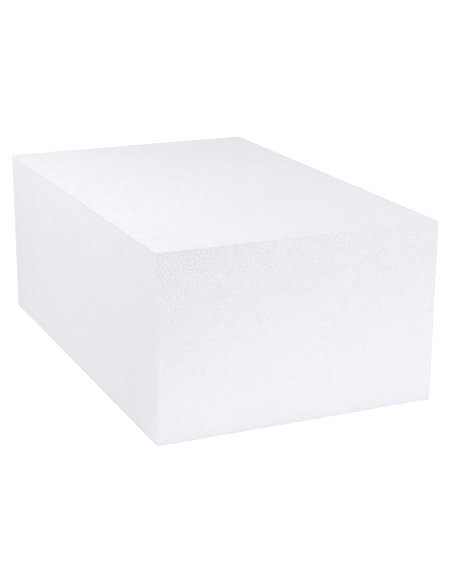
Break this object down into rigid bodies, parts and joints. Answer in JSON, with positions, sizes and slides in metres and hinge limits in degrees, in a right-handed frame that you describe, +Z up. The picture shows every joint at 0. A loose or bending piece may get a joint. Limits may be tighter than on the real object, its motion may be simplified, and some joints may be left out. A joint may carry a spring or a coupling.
{
  "type": "floral foam brick",
  "caption": "Rectangular brick of rigid white bead foam with flat, finely pebbled faces and sharp edges, for holding and building up flower arrangements.",
  "frame": {"origin": "centre of the resting face, on the surface that the block stands on", "axes": "+Z up, across the thickness; Y along the length; X along the width; the end face that the picture shows looks towards -Y and the long face that it shows looks towards -X"},
  "size_m": [0.19, 0.3, 0.12],
  "materials": {
    "white_bead_foam": "matte"
  },
  "bodies": {
    "root": {"foam_block": "white_bead_foam"}
  },
  "joints": []
}
